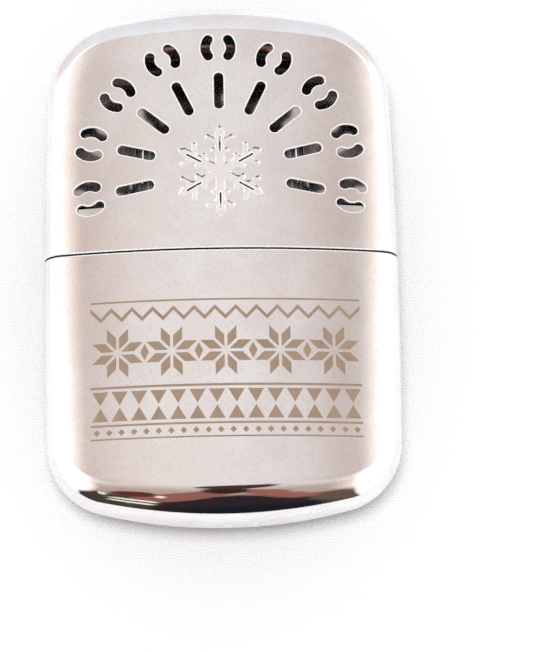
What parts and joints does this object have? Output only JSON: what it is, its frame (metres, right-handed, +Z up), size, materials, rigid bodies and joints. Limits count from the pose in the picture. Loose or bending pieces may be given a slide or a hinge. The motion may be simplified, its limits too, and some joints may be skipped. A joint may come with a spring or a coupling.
{
  "type": "catalytic hand warmer",
  "caption": "Pocket hand warmer: drawn metal fuel tank packed with wadding, a catalytic burner pushed onto its neck, and a vented slide-on cap with a fan of slots.",
  "frame": {"origin": "centre of the bounding box, at the bottom: under the seam, on the plane that the flat back lies on", "axes": "+X across the width, +Y along the length from the tank to the cap, +Z up through the thickness from the back to the face with the vents"},
  "size_m": [0.067, 0.1022, 0.0155],
  "materials": {
    "shell_polish": "bright polished plating with faint swirls from rubbing",
    "collar_metal": "drawn sheet, plated, satin",
    "neck_metal": "drawn brass, unpolished",
    "screen_metal": "punched plate",
    "felt": "off-white wool felt",
    "wadding": "packed white cotton",
    "burner_metal": "plated sheet, slightly heat tinted",
    "gauze_metal": "fine woven wire",
    "fibre": "grey glass fibre with catalyst"
  },
  "bodies": {
    "tank": {"tank_shell": "shell_polish", "tank_collar": "collar_metal", "filler_neck": "neck_metal", "neck_screen": "screen_metal", "wick_felt": "felt", "cotton_wadding": "wadding"},
    "cap": {"cap_shell": "shell_polish"},
    "burner": {"burner_base": "burner_metal", "burner_cover": "burner_metal", "burner_gauze": "gauze_metal", "catalyst_mat": "fibre"}
  },
  "joints": [
    {"name": "cap_slide", "type": "slide", "parent": "tank", "child": "cap", "axis": [0, 1, 0], "range_m": [0, 0.055]},
    {"name": "burner_pull", "type": "slide", "parent": "tank", "child": "burner", "axis": [0, 1, 0], "range_m": [0, 0.012]}
  ]
}
